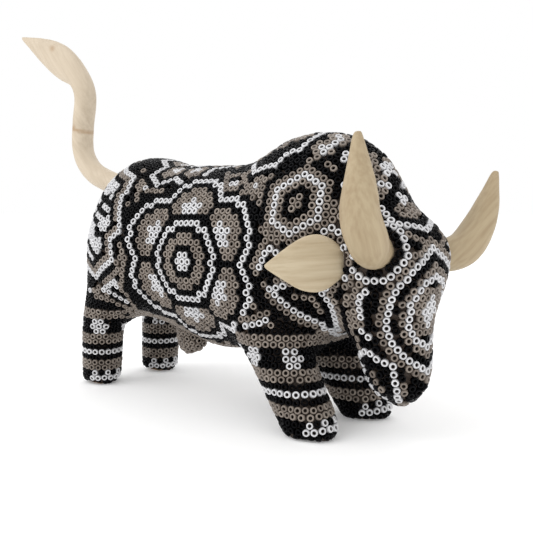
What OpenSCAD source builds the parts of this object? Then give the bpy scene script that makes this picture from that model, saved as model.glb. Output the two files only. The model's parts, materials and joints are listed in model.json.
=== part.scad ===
// A small carved wooden bull covered with glass seed beads, with bare wood horns, ears and tail.
// Millimetres. The bull faces +X and stands on Z = 0; +Y is its left side. Each size of the body is
// measured over the beads, and the wooden core lies one coat of wax and beads below that surface.

/* [Beads and wax] */
// Height that a seed bead stands above the wax
bead_h = 1.5; // [1.2:0.1:1.8]
// Thickness of the wax between the wood and the beads
wax_t = 0.8; // [0.6:0.1:1]

/* [Trunk] */
// Height of the top of the rump
rump_top = 76; // [73:0.5:78]
// Height of the top of the hump
hump_top = 81; // [79:0.5:84]
// Height of the lowest part of the belly
belly_low = 17; // [15:0.5:20]
// Width across the ribs
rib_w = 47; // [44:0.5:49]
// Width across the hips
hip_w = 48.5; // [45:0.5:50]
// Width across the shoulders
shoulder_w = 43; // [41:0.5:46]

/* [Stance] */
// Distance from the rear hooves to the front hooves
hoof_run = 92; // [89:0.5:94]
// Distance from the right hooves to the left hooves
hoof_gap = 26; // [25:0.5:28]
// Distance that the front legs reach forward from shoulder to hoof
front_reach = 22; // [19:0.5:24]
// Diameter of a rear leg just above the hoof
leg_d = 13; // [12:0.1:14]

/* [Head] */
// Width across the forehead
brow_w = 34; // [32:0.5:36]
// Height of the chin
chin_h = 9; // [8:0.5:11]
// Thickness of the muzzle from front to back
muzzle_t = 17; // [15:0.5:18]

/* [Horns] */
// Distance between the tips of the horns
horn_span = 67.5; // [62:0.5:72]
// Height of the tips of the horns
horn_tip_h = 73.5; // [70:0.5:78]
// Thickness of a horn at its thickest
horn_d = 9.8; // [9.4:0.1:12]
// Drop of the pair towards the left, for each millimetre across
horn_lean = 0.095; // [0:0.005:0.1]

/* [Ears and tail] */
// Length of an ear from its seat to its tip
ear_len = 19; // [18.5:0.5:25]
// Width of an ear
ear_w = 14.5; // [13:0.5:17]
// Thickness of an ear
ear_t = 3.4; // [2.6:0.1:4]
// Thickness of the tail
tail_d = 7.8; // [7:0.1:8.4]
// Width of the leaf at the end of the tail
tail_leaf_w = 12.5; // [10:0.1:13]

/* [Pegs and sockets] */
// Diameter of the dowel that holds a horn
horn_peg_d = 4; // [3:0.1:5]
// Length of the dowel that holds a horn
horn_peg_len = 12; // [10:0.5:13]
// Diameter of the dowel that holds an ear
ear_peg_d = 1.8; // [1.4:0.1:2]
// Length of the dowel that holds an ear
ear_peg_len = 9; // [8:0.5:10]
// Diameter of the tenon on the tail
tenon_d = 5; // [4:0.1:6]
// Length of the tenon on the tail
tenon_len = 10; // [8:0.5:12]
// Depth that an ear is let into the wood
ear_seat_depth = 2; // [1.8:0.1:2.4]

/* [Hidden] */

coat_t = wax_t + bead_h;
wood = [0.86, 0.77, 0.62];
carving_wood = [0.80, 0.68, 0.50];
wax = [0.45, 0.30, 0.16];
beads = [0.16, 0.15, 0.15];
dowel_wood = [0.74, 0.58, 0.38];

// The tail stands far behind the rump, so the middle of the whole bull is behind its trunk
mid_x = -37;
rear_x = -64.5 - mid_x;
front_x = rear_x + hoof_run;
hoof_y = hoof_gap / 2;
leg_r = leg_d / 2;

// ---- The beaded surface as a field: below zero inside it, and about a distance ----

function clamp01(t) = min(1, max(0, t));

// The lower of two fields, rounded over k millimetres where they meet
function blend(a, b, k) =
    let (h = max(k - abs(a - b), 0) / k)
    min(a, b) - h * h * k / 4;

// An ellipsoid with centre c and half-sizes r
function ball(p, c, r) =
    let (q = p - c,
         a = norm([q.x / r.x, q.y / r.y, q.z / r.z]),
         b = norm([q.x / pow(r.x, 2), q.y / pow(r.y, 2), q.z / pow(r.z, 2)]))
    a * (a - 1) / max(b, 0.001);

// A round rod from a to b whose radius goes from ra to rb
function limb(p, a, b, ra, rb) =
    let (ab = b - a,
         t = clamp01((p - a) * ab / (ab * ab)))
    norm(p - a - t * ab) - ra - t * (rb - ra);

// The same rod squeezed sideways to w times its width
function flat_limb(p, a, b, ra, rb, w) = limb([p.x, p.y / w, p.z], a, b, ra, rb);

// A point given by its distance ahead of the rear hooves
function place(x, y, z) = [rear_x + x, y, z];

rib_r = 28;
belly_mid = belly_low + rib_r;

function trunk(p) =
    let (rump = ball(p, place(15.5, 0, rump_top - 25), [21, 20.5, 25]),
         hips = ball(p, place(25.5, 0, 47), [20, hip_w / 2, 21]),
         loin = place(18.5, 0, belly_mid + 4),
         ribs = flat_limb(p, loin, place(52, 0, belly_mid), 25, rib_r, rib_w / 2 / rib_r),
         chest = ball(p, place(76.5, 0, 47), [24, shoulder_w / 2, 28]),
         hump = ball(p, place(87, 0, hump_top - 23), [23, 16, 23]),
         sheath = ball(p, place(33, 0, 20), [7, 5, 6.5]))
    blend(blend(blend(blend(rump, ribs, 6), hips, 6), blend(chest, hump, 10), 10), sheath, 3);

muzzle_r = muzzle_t / 2;

function head(p) =
    let (neck = flat_limb(p, place(90.5, 0, 52), place(104.5, 0, 46), 21, 15, 0.85),
         brow = limb(p, place(106, 0, 48), place(109.5, brow_w / 2 - 10, 48), 12, 10),
         face = limb(p, place(106, 0, 38), place(110.5, 0, chin_h + muzzle_r), 13, muzzle_r))
    blend(blend(neck, brow, 6), face, 8);

function legs(p) =
    let (knee = [rear_x + 1.5, hoof_y, 22],
         shank = limb(p, knee, [rear_x, hoof_y, 1.5], leg_r + 0.7, leg_r),
         thigh = limb(p, [rear_x + 13, hoof_y - 3.5, 43], knee, 13, leg_r + 0.7),
         rear = min(shank, thigh),
         front = limb(p, [front_x - front_reach, hoof_y - 2, 36], [front_x, hoof_y, 2], leg_r + 3, leg_r + 0.8))
    min(rear, front);

function beaded(p) =
    let (q = [p.x, abs(p.y), p.z])
    blend(blend(trunk(q), head(q), 9), legs(q), 9);

// The wood lies one coat deeper and ends at the ground
function core(p) = max(beaded(p) + coat_t, -p.z);

// A point lower than this lies on a sole
sole_z = 0.01;
function on_sole(p) = p.z < sole_z;

probe = 0.4;
function uphill(p) =
    let (g = [for (d = [[probe, 0, 0], [0, probe, 0], [0, 0, probe]]) beaded(p + d) - beaded(p - d)])
    g / norm(g);

// ---- The skin of the wood: one point in each grid cell that the surface crosses ----

// The grid is finer round the thin legs than along the trunk
function x_step(x) = abs(x - rear_x) < 7 ? 2.8 : abs(x - front_x + 4) < 12 ? 3.8 : 5.3;
xs = [for (x = rear_x - 10.8; x < rear_x + 126; x = x + x_step(x)) x];
half_ys = [4.8, 9, 11.8, 14.6, 18.4, 22, 26, 30];
ys = concat([for (i = [7 : -1 : 0]) -half_ys[i]], [0], half_ys);
zs = [for (z = -6.6; z < 87; z = z + 4.6) z];
nx = len(xs);
ny = len(ys);
nz = len(zs);

CORNERS = [for (k = [0, 1], j = [0, 1], i = [0, 1]) [i, j, k]];
EDGES = [for (a = [0 : 7], s = [1, 2, 4]) if (floor(a / s) % 2 == 0) [a, a + s]];

function at(i, j, k) = (k * ny + j) * nx + i;
function grid_point(i, j, k) = [xs[i], ys[j], zs[k]];
function is_cell(i, j, k) = i < nx - 1 && j < ny - 1 && k < nz - 1;

function crossing(v, e) =
    let (t = v[e[0]] / (v[e[0]] - v[e[1]]))
    CORNERS[e[0]] + t * (CORNERS[e[1]] - CORNERS[e[0]]);

function total(list, i = 0) = i == len(list) ? [0, 0, 0] : list[i] + total(list, i + 1);

// Two short steps down the field bring a point onto the surface, and one on the sole stays on the ground
function settle(p, turns) =
    turns == 0 ? p :
    let (q = p - (beaded(p) + coat_t) * uphill(p))
    settle(on_sole(p) ? p : [q.x, q.y, max(q.z, 0)], turns - 1);

function cell_point(f, i, j, k) =
    let (v = [for (c = CORNERS) f[at(i + c.x, j + c.y, k + c.z)]],
         cuts = [for (e = EDGES) if (v[e[0]] * v[e[1]] < 0) crossing(v, e)],
         low = grid_point(i, j, k),
         size = grid_point(i + 1, j + 1, k + 1) - low,
         middle = total(cuts) / len(cuts))
    len(cuts) == 0 ? undef : settle(low + [size.x * middle.x, size.y * middle.y, size.z * middle.z], 2);

// For each cell, how many points come before its own
function numbers(marks) = [
    for (i = 0, n = 0; i < len(marks); n = n + (is_undef(marks[i]) ? 0 : 1), i = i + 1) n
];

function two_triangles(a, b, c, d, turn) = turn ? [[a, b, c], [a, c, d]] : [[a, c, b], [a, d, c]];

// Each grid edge that passes through the surface joins the four cells round it
function skin_faces(f, id) = [
    for (k = [1 : nz - 2], j = [1 : ny - 2], i = [1 : nx - 2])
        let (o = at(i, j, k))
        for (axis = [0 : 2])
            let (steps = [1, nx, nx * ny],
                 ahead = f[o + steps[axis]],
                 u = steps[(axis + 1) % 3],
                 w = steps[(axis + 2) % 3])
            if (f[o] * ahead < 0)
                each two_triangles(id[o], id[o - u], id[o - u - w], id[o - w], f[o] > 0)
];

function skin() =
    let (f = [for (k = [0 : nz - 1], j = [0 : ny - 1], i = [0 : nx - 1]) core(grid_point(i, j, k))],
         marks = [for (k = [0 : nz - 1], j = [0 : ny - 1], i = [0 : nx - 1])
             is_cell(i, j, k) ? cell_point(f, i, j, k) : undef])
    [[for (m = marks) if (!is_undef(m)) m], skin_faces(f, numbers(marks))];

// The skin moved outward by t; points on the soles move along the ground, and less towards the middle
function lifted(p, t) =
    let (g = uphill(p),
         rim = clamp01(1 + (beaded(p) + coat_t) / 2),
         flat = [g.x, g.y, 0])
    on_sole(p) ? p + t * rim * flat / norm(flat) : let (q = p + t * g) [q.x, q.y, max(q.z, 0)];

// The legs carried on below the ground, so that a flat cut there leaves clean soles
under = 3;
function footed(p) = on_sole(p) ? [p.x, p.y, -under] : p;

// A layer from one height above the wood to another, open under the soles. The empty resize keeps
// every size and makes the layer one mesh.
module layer(low, high) {
    mesh = skin();
    resize([0, 0, 0])
        difference() {
            polyhedron([for (p = mesh[0]) lifted(p, high)], mesh[1]);
            polyhedron([for (p = mesh[0]) footed(lifted(p, low))], mesh[1]);
            carvings();
        }
}

// ---- Carved horns, ears and tail: rings of points along a path ----

// A smooth curve through the points of a list, for t from 0 to its last index
function through(list, t) =
    let (last = len(list) - 1,
         i = min(last - 1, floor(t)),
         s = t - i,
         a = list[max(0, i - 1)],
         b = list[i],
         c = list[i + 1],
         d = list[min(last, i + 2)],
         bend = a - 2.5 * b + 2 * c - d / 2,
         twist = 1.5 * b - a / 2 - 1.5 * c + d / 2)
    b + s * (c - a) / 2 + pow(s, 2) * bend + pow(s, 3) * twist;

function unit(v) = v / norm(v);

// path, wide and thin are lists of the same length; side points along the wide way of the section
module carving(path, wide, thin, side, rings, sides) {
    last = len(path) - 1;
    points = [
        for (n = [0 : rings])
            let (t = last * n / rings,
                 way = unit(through(path, min(last, t + 0.05)) - through(path, max(0, t - 0.05))),
                 across = unit(side - (side * way) * way),
                 over = cross(way, across))
            for (a = [0 : sides - 1])
                through(path, t)
                    + across * through(wide, t) / 2 * cos(360 * a / sides)
                    + over * through(thin, t) / 2 * sin(360 * a / sides)
    ];
    start_cap = [for (a = [0 : sides - 1]) a];
    end_cap = [for (a = [sides - 1 : -1 : 0]) rings * sides + a];
    walls = [
        for (n = [0 : rings - 1], a = [0 : sides - 1])
            let (b = (a + 1) % sides, lower = n * sides, upper = lower + sides)
            each [[upper + b, lower + b, lower + a], [upper + a, upper + b, lower + a]]
    ];
    polyhedron(points, concat([start_cap, end_cap], walls));
}

// Stand a shape that points up Z so that it points along way
module along(from, way) {
    translate(from)
        rotate([0, acos(way.z / norm(way)), atan2(way.y, way.x)])
            children();
}

// Middle of the horn's seat, bottom of the hole, on the left side before the lean
horn_seat = [rear_x + 111.5, 12, 48.6];
horn_way = unit([0.22, 1, 0.05]);
horn_root_d = 8.4;
horn_path = [
    horn_seat,
    horn_seat + 5 * horn_way,
    [rear_x + 115.6, 23, 51],
    [rear_x + 117, 28, 56],
    [rear_x + 118.8, 31, 63.5],
    [rear_x + 120, horn_span / 2, horn_tip_h]
];
horn_widths = [horn_root_d, horn_root_d + 0.6, horn_d, horn_d - 0.4, horn_d * 0.72, 1.6];

// A point or a direction of the left side, brought to its own side (1 left, -1 right)
function on_side(p, side) = [p.x, side * p.y, p.z];

// The same for the horns, which lean as a pair
function leaned(p, side) = on_side(p, side) - [0, 0, horn_lean * side * p.y];

ear_seat = [rear_x + 103.5, 12, 47];
ear_way = unit([-0.46, 0.89, -0.02]);
ear_root_d = 5;
ear_whole = ear_len + coat_t + ear_seat_depth;
ear_path = [for (t = [0, 0.12, 0.32, 0.55, 0.8, 1]) ear_seat + ear_way * ear_whole * t];
ear_widths = [ear_root_d - 0.4, ear_w * 0.55, ear_w * 0.96, ear_w * 0.95, ear_w * 0.5, 0.7];
ear_thicks = [ear_t * 0.8, ear_t * 0.9, ear_t, ear_t, ear_t * 0.7, 0.6];

tail_seat = [rear_x + 3.4, 0, 65];
tail_way = unit([-1, 0, 0.28]);
tail_path = [
    tail_seat,
    tail_seat + 11 * tail_way,
    [rear_x - 20, 0, 72.5],
    [rear_x - 26.5, 0, 80],
    [rear_x - 26.5, 0, 90],
    [rear_x - 24.8, 0, 100],
    [rear_x - 28.5, 0, 107.5],
    [rear_x - 38, 0, 114],
    [rear_x - 50, 0, 120],
    [rear_x - 67, 0, 127.5]
];
tail_widths = [
    tail_d, tail_d, tail_d, tail_d, tail_d * 1.04, tail_d * 1.1, tail_d * 1.12,
    tail_leaf_w, tail_leaf_w * 0.78, 0.8
];
tail_thicks = [
    tail_d, tail_d, tail_d, tail_d, tail_d, tail_d, tail_d,
    tail_d * 0.92, tail_d * 0.7, 0.8
];

module horn_shape(side) {
    path = [for (p = horn_path) leaned(p, side)];
    carving(path, horn_widths, horn_widths, [1, 0, 0], 14, 14);
}

module ear_shape(side) {
    path = [for (p = ear_path) on_side(p, side)];
    carving(path, ear_widths, ear_thicks, [0, 0, 1], 12, 14);
}

module tail_shape() {
    carving(tail_path, tail_thicks, tail_widths, [0, 1, 0], 30, 14);
}

module carvings() {
    for (side = [-1, 1]) {
        horn_shape(side);
        ear_shape(side);
    }
    tail_shape();
}

// ---- Pegs, and the sockets that are drilled for them ----

// The seats are wider than the roots at the bottom, because the roots widen on their way out
horn_seat_d = horn_root_d + 0.6;
ear_seat_d = ear_w * 0.6 + 0.2;
tail_seat_d = tail_d + 0.2;
seat_reach = 12;

module horn_peg(side) {
    along(leaned(horn_seat, side), leaned(horn_way, side))
        translate([0, 0, -horn_peg_len / 2])
            cylinder(d = horn_peg_d, h = horn_peg_len, $fn = 32);
}

module ear_peg(side) {
    along(on_side(ear_seat, side), on_side(ear_way, side))
        translate([0, 0, -ear_peg_len / 2])
            cylinder(d = ear_peg_d, h = ear_peg_len, $fn = 24);
}

module tenon() {
    along(tail_seat, -tail_way)
        cylinder(d = tenon_d, h = tenon_len, $fn = 32);
}

// A flat-bottomed hole that lets the root of a carving into the wood
module seat(from, way, d) {
    along(from, way)
        cylinder(d = d, h = seat_reach, $fn = 48);
}

module sockets() {
    for (side = [-1, 1]) {
        seat(leaned(horn_seat, side), leaned(horn_way, side), horn_seat_d);
        seat(on_side(ear_seat, side), on_side(ear_way, side), ear_seat_d);
        horn_peg(side);
        ear_peg(side);
    }
    seat(tail_seat, tail_way, tail_seat_d);
    tenon();
}

// ---- One module for each piece ----

module ground() {
    translate([-100, -50, -2 * under])
        cube([200, 100, 2 * under]);
}

module wood_core() {
    mesh = skin();
    color(carving_wood)
        difference() {
            polyhedron([for (p = mesh[0]) footed(p)], mesh[1]);
            ground();
            sockets();
        }
}

module wax_coat() {
    color(wax) layer(0, wax_t);
}

module bead_coat() {
    color(beads) layer(wax_t, coat_t);
}

module horn(side) {
    color(wood)
        difference() {
            horn_shape(side);
            horn_peg(side);
        }
}

module ear(side) {
    color(wood)
        difference() {
            ear_shape(side);
            ear_peg(side);
        }
}

module horn_right() {
    horn(-1);
}

module horn_left() {
    horn(1);
}

module horn_peg_right() {
    color(dowel_wood) horn_peg(-1);
}

module horn_peg_left() {
    color(dowel_wood) horn_peg(1);
}

module ear_right() {
    ear(-1);
}

module ear_left() {
    ear(1);
}

module ear_peg_right() {
    color(dowel_wood) ear_peg(-1);
}

module ear_peg_left() {
    color(dowel_wood) ear_peg(1);
}

module tail() {
    color(wood)
        union() {
            tail_shape();
            tenon();
        }
}

wood_core();
wax_coat();
bead_coat();
horn_right();
horn_left();
horn_peg_right();
horn_peg_left();
ear_right();
ear_left();
ear_peg_right();
ear_peg_left();
tail();
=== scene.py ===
import heapq
import json
import math
import random
from collections import deque

import bpy
import bmesh
import numpy as np
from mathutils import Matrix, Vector, noise
from mathutils.bvhtree import BVHTree
from mathutils.kdtree import KDTree


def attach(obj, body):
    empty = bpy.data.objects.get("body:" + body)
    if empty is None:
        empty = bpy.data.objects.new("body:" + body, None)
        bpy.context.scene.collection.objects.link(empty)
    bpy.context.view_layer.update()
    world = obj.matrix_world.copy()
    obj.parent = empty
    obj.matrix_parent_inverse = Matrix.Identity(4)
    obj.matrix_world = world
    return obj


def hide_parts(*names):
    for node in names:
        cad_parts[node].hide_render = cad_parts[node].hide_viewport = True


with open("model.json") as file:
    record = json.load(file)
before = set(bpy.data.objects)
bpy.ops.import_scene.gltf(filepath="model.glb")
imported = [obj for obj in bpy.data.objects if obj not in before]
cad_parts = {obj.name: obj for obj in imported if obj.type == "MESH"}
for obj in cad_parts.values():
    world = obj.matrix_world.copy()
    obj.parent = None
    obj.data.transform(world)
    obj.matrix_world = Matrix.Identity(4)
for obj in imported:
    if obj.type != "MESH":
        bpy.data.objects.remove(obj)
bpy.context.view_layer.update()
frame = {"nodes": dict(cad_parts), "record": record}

# ---- Sizes, in metres ----

MM = 0.001
PITCH = 2.1 * MM            # from one seed bead to the next
BEAD_R = 1.03 * MM          # outer radius of a bead
HOLE_R = 0.43 * MM          # radius of the hole through it
BEAD_H = 1.5 * MM           # height of a bead
ROW = PITCH * math.sqrt(3) / 2
WAX_BELOW = 1.45 * MM       # the wax lies this far below the top of the beads
HOOF_EDGE = 4 * MM          # below this height the wax goes straight down to the ground
CLOSEST = 0.93              # nearest that the fill lays two beads, in pitches
ROW_CLOSEST = 0.8           # the same in the rows of a leg and on a lattice
LINE_CLOSEST = 0.84         # along a line of the pattern
RING_CLOSEST = 0.86         # in a ring round a carving
GAP_WIDTHS = (0.86, 0.8, 0.76, 0.73, 0.7)   # and in the gaps that are left, the widest first
ROOT_GAP = 1.02 * MM        # from the middle of a bead to a horn, an ear or the tail
SOLE_GAP = 1.12 * MM        # from the middle of the lowest beads to the ground

CARVINGS = ["horn_right", "horn_left", "ear_right", "ear_left", "tail"]
HORNS = CARVINGS[:2]
BLACK, WHITE, TAUPE = "black", "white", "taupe"

rng = random.Random(7)


# ---- Meshes ----

def new_object(name, verts, faces, smooth=True):
    mesh = bpy.data.meshes.new(name)
    mesh.from_pydata([tuple(v) for v in verts], [], [tuple(f) for f in faces])
    mesh.validate()
    if smooth:
        mesh.shade_smooth()
    obj = bpy.data.objects.new(name, mesh)
    bpy.context.scene.collection.objects.link(obj)
    return obj


def subdivided(mesh, levels):
    """The mesh after levels of Catmull-Clark subdivision: points, their normals, and faces."""
    obj = bpy.data.objects.new("smoothing", mesh)
    bpy.context.scene.collection.objects.link(obj)
    modifier = obj.modifiers.new("smooth", "SUBSURF")
    modifier.levels = levels
    modifier.render_levels = levels
    shape = obj.evaluated_get(bpy.context.evaluated_depsgraph_get()).to_mesh()
    points = np.array([v.co for v in shape.vertices])
    normals = np.array([v.normal for v in shape.vertices])
    faces = [tuple(p.vertices) for p in shape.polygons]
    bpy.data.objects.remove(obj)
    return points, normals, faces


def smoothed(bm, levels):
    """The same, but swollen by what plain subdivision would shrink the mesh, evened between neighbours."""
    mesh = bpy.data.meshes.new("smoothing")
    bm.to_mesh(mesh)
    wanted = np.array([v.co for v in mesh.vertices])
    edges = np.array([e.vertices for e in mesh.edges])
    around = np.bincount(edges.ravel(), minlength=len(wanted))
    held = wanted.copy()
    for _ in range(2):
        points, normals, _ = subdivided(mesh, levels)
        normals = normals[:len(wanted)]
        shrunk = ((wanted - points[:len(wanted)]) * normals).sum(1)
        for _ in range(3):
            total = np.bincount(edges.ravel(), shrunk[edges[:, ::-1]].ravel(), len(wanted))
            shrunk = (shrunk + total / around) / 2
        held += normals * shrunk[:, None]
        mesh.vertices.foreach_set("co", held.astype(np.float32).ravel())
        mesh.update()
    return subdivided(mesh, levels)


def joined_quads(bm):
    bmesh.ops.join_triangles(
        bm, faces=bm.faces, angle_face_threshold=math.radians(50), angle_shape_threshold=math.radians(60))


# ---- The beaded surface: the outer skin of the bead coat, closed over the roots and made smooth ----

def outer_skin():
    bm = bmesh.new()
    bm.from_mesh(frame["nodes"]["bead_coat"].data)
    bmesh.ops.remove_doubles(bm, verts=bm.verts, dist=0.01 * MM)
    bm.normal_update()
    top = max(bm.faces, key=lambda f: f.calc_center_median().z)
    kept = {top}
    queue = deque([top])
    while queue:
        face = queue.popleft()
        for edge in face.edges:
            if len(edge.link_faces) != 2 or edge.calc_face_angle_signed() > math.radians(56):
                continue
            for other in edge.link_faces:
                if other not in kept:
                    kept.add(other)
                    queue.append(other)
    bmesh.ops.delete(bm, geom=[f for f in bm.faces if f not in kept], context="FACES")
    return bm


def rims(bm):
    """Each open rim of the mesh, as its vertices in order."""
    left = {v for v in bm.verts if v.is_boundary}
    found = []
    while left:
        rim = [left.pop()]
        while True:
            ahead = [e.other_vert(rim[-1]) for e in rim[-1].link_edges if e.is_boundary]
            ahead = [v for v in ahead if v in left]
            if not ahead:
                break
            rim.append(ahead[0])
            left.remove(ahead[0])
        found.append(rim)
    return found


def close_rim(bm, rim):
    """A fan over the hole, its middle raised as the surface round it curves."""
    middle = sum((v.co for v in rim), Vector()) / len(rim)
    up = sum((v.normal for v in rim), Vector()).normalized()
    rise = sum((v.co - middle).dot(v.normal) / up.dot(v.normal) for v in rim) / len(rim)
    top = bm.verts.new(middle + up * rise / 2)
    for a, b in zip(rim, rim[1:] + rim[:1]):
        bm.faces.new((a, b, top))


def body_surface():
    bm = outer_skin()
    for rim in rims(bm):
        if min(v.co.z for v in rim) > 1 * MM and len(rim) > 2:
            close_rim(bm, rim)
    bmesh.ops.recalc_face_normals(bm, faces=bm.faces)
    joined_quads(bm)
    return smoothed(bm, 2)


skin_points, skin_normals, skin_faces = body_surface()
bead_points = skin_points - skin_normals * (BEAD_H / 2)
bead_bvh = BVHTree.FromPolygons([Vector(p) for p in bead_points], skin_faces)
face_normals = np.array([skin_normals[list(f)].mean(0) for f in skin_faces])
carving_bvh = {
    name: BVHTree.FromObject(frame["nodes"][name], bpy.context.evaluated_depsgraph_get())
    for name in CARVINGS
}


def on_surface(p):
    """The nearest point where the middle of a bead may lie, and the way that its hole points."""
    place, _, face, _ = bead_bvh.find_nearest(p)
    return place, Vector(face_normals[face]).normalized()


def inside(p, name):
    """Whether a point lies in a carving: a ray from it then leaves an odd number of times."""
    way = Vector((0.36, 0.48, 0.8))
    crossings = 0
    hit = carving_bvh[name].ray_cast(p, way)[0]
    while hit:
        crossings += 1
        hit = carving_bvh[name].ray_cast(hit + way * 0.001 * MM, way)[0]
    return crossings % 2 == 1


def root_distance(p, name):
    """How far a point is from the surface of a carving; less than zero inside it."""
    near, normal, _, distance = carving_bvh[name].find_nearest(p)
    return -distance if (p - near).dot(normal) < 0 and inside(p, name) else distance


# ---- Where the beads lie ----

class Layout:
    """The beads placed so far. A bead has a place, the way its hole points, and a tag for what laid it."""

    def __init__(self):
        self.places, self.ups, self.tags, self.cells = [], [], [], {}

    def cell(self, p):
        return tuple(int(math.floor(c / (1.5 * PITCH))) for c in p)

    def near(self, p, reach):
        x, y, z = self.cell(p)
        for i in (x - 1, x, x + 1):
            for j in (y - 1, y, y + 1):
                for k in (z - 1, z, z + 1):
                    for n in self.cells.get((i, j, k), ()):
                        if (self.places[n] - p).length < reach:
                            yield n

    def free(self, p, closest):
        if p.z < SOLE_GAP or any(True for _ in self.near(p, closest * PITCH)):
            return False
        return all(root_distance(p, name) > ROOT_GAP for name in CARVINGS)

    def add(self, p, tag=None, closest=CLOSEST):
        """Lay a bead at the surface point nearest to p. Returns its number, or None if there is no room."""
        place, up = on_surface(p)
        if not self.free(place, closest):
            return None
        self.places.append(place)
        self.ups.append(up)
        self.tags.append(tag)
        self.cells.setdefault(self.cell(place), []).append(len(self.places) - 1)
        return len(self.places) - 1

    def tree(self):
        tree = KDTree(len(self.places))
        for n, p in enumerate(self.places):
            tree.insert(p, n)
        tree.balance()
        return tree

    def measure_room(self):
        """How many pitches each bead is from its nearest neighbour."""
        tree = self.tree()
        self.room = [tree.find_n(p, 2)[1][2] / PITCH for p in self.places]

    def move(self, moved):
        self.places = [place for place, _ in moved]
        self.ups = [up for _, up in moved]
        self.cells = {}
        for n, p in enumerate(self.places):
            self.cells.setdefault(self.cell(p), []).append(n)


SIX = [(1, 0), (0, 1), (-1, 1), (-1, 0), (0, -1), (1, -1)]


def lay_lattice(layout, name, centre, along, wanted):
    """Beads on a lattice of triangles that spreads over the surface from centre, its rows running along."""
    first = layout.add(centre, (name, 0, 0))
    up = layout.ups[first]
    rows = {(0, 0): (first, (along - up * along.dot(up)).normalized())}
    queue = deque([(0, 0)])
    seen = {(0, 0)}
    while queue:
        a, b = queue.popleft()
        for da, db in SIX:
            cell = (a + da, b + db)
            if cell in seen or not wanted(*cell):
                continue
            seen.add(cell)
            guesses, ways = [], []
            for turn, (sa, sb) in enumerate(SIX):
                known = rows.get((cell[0] - sa, cell[1] - sb))
                if known:
                    n, way = known
                    over = layout.ups[n].cross(way)
                    angle = turn * math.pi / 3
                    step = math.cos(angle) * way + math.sin(angle) * over
                    guesses.append(layout.places[n] + PITCH * step)
                    ways.append(way)
            n = layout.add(sum(guesses, Vector()) / len(guesses), (name, *cell), closest=ROW_CLOSEST)
            if n is not None:
                up = layout.ups[n]
                way = sum(ways, Vector())
                rows[cell] = (n, (way - up * way.dot(up)).normalized())
                queue.append(cell)


def spread(points, closed, phase):
    """Points one pitch apart along a line through points."""
    line = points + points[:1] if closed else points
    lengths = [0.0]
    for p, q in zip(line, line[1:]):
        lengths.append(lengths[-1] + (q - p).length)
    count = max(1, round(lengths[-1] / PITCH))
    step = lengths[-1] / count
    result = []
    for n in range(count if closed else count + 1):
        s = (n * step + (phase * step if closed else 0)) % (lengths[-1] + 1e-9)
        i = max(0, min(len(line) - 2, int(np.searchsorted(lengths, s, side="right")) - 1))
        span = lengths[i + 1] - lengths[i]
        result.append(line[i].lerp(line[i + 1], (s - lengths[i]) / span if span else 0))
    return result


LEG_ROWS = 16
LEG_ROW_STEP = 0.97         # from one row to the next, in rows of a flat lattice
LEG_REACH = 12.5 * MM
LEG_RAYS = 72               # the rays that feel the way round a leg at each row
LEG_LEAST_HITS = 12         # with fewer hits than this the row lies in the body
RUN_LEAST_HITS = 3


def lay_leg(layout, name, sole):
    """Level rows of beads round a leg, up to where it runs into the body."""
    middle = Vector((sole.x, sole.y, 0))
    for row in range(LEG_ROWS):
        z = SOLE_GAP + row * ROW * LEG_ROW_STEP
        hits = []
        for n in range(LEG_RAYS):
            turn = n * math.pi / (LEG_RAYS / 2)
            way = Vector((math.cos(turn), math.sin(turn), 0))
            hit = bead_bvh.ray_cast(Vector((middle.x, middle.y, z)), way)
            hits.append(hit[0] if hit[0] and hit[3] < LEG_REACH else None)
        good = [h for h in hits if h]
        if len(good) < LEG_LEAST_HITS:
            return
        low, high = Vector(np.min(good, 0)), Vector(np.max(good, 0))
        if len(good) == LEG_RAYS:
            middle = (low + high) / 2
            for n, p in enumerate(spread(good, True, 0.5 * (row % 2))):
                layout.add(p, (name, row, n), closest=ROW_CLOSEST)
        else:
            gap = next(n for n in range(LEG_RAYS) if hits[n] is None)
            turned = hits[gap:] + hits[:gap]
            run = []
            for h in turned + [None]:
                if h:
                    run.append(h)
                elif len(run) > RUN_LEAST_HITS:
                    for n, p in enumerate(spread(run, False, 0)):
                        layout.add(p, (name, row, n), closest=ROW_CLOSEST)
                    run = []
                else:
                    run = []


RING_RAYS = 60
RING_TRIES = 6              # steps that bring each point of a ring to its distance
ROOT_POINTS = 24            # the points of a carving nearest to the beads, whose middle is its root


def lay_ring(layout, carving, number, distance):
    """A row of beads round the root of a carving, at one distance from it."""
    points = np.array([v.co for v in frame["nodes"][carving].data.vertices])
    gaps = [bead_bvh.find_nearest(Vector(p))[3] for p in points]
    root = Vector(points[np.argsort(gaps)[:ROOT_POINTS]].mean(0))
    centre, up = on_surface(root)
    side = up.orthogonal().normalized()
    over = up.cross(side)
    ring = []
    for n in range(RING_RAYS):
        turn = n * math.pi / (RING_RAYS / 2)
        way = math.cos(turn) * side + math.sin(turn) * over
        reach = 5 * MM
        for _ in range(RING_TRIES):
            p, _ = on_surface(centre + way * reach)
            reach += distance - root_distance(p, carving)
        ring.append(p)
    for n, p in enumerate(spread(ring, True, 0)):
        layout.add(p, (carving, number, n), closest=RING_CLOSEST)


def lay_line(layout, name, points):
    """A row of beads along a line through points, over the surface."""
    ends = [on_surface(p)[0] for p in points]
    path = [ends[0]]
    for p, q in zip(ends, ends[1:]):
        steps = max(1, round((q - p).length / MM))
        path += [on_surface(p.lerp(q, n / steps))[0] for n in range(1, steps + 1)]
    for n, p in enumerate(spread(path, False, 0)):
        layout.add(p, (name, n), closest=LINE_CLOSEST)


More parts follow.
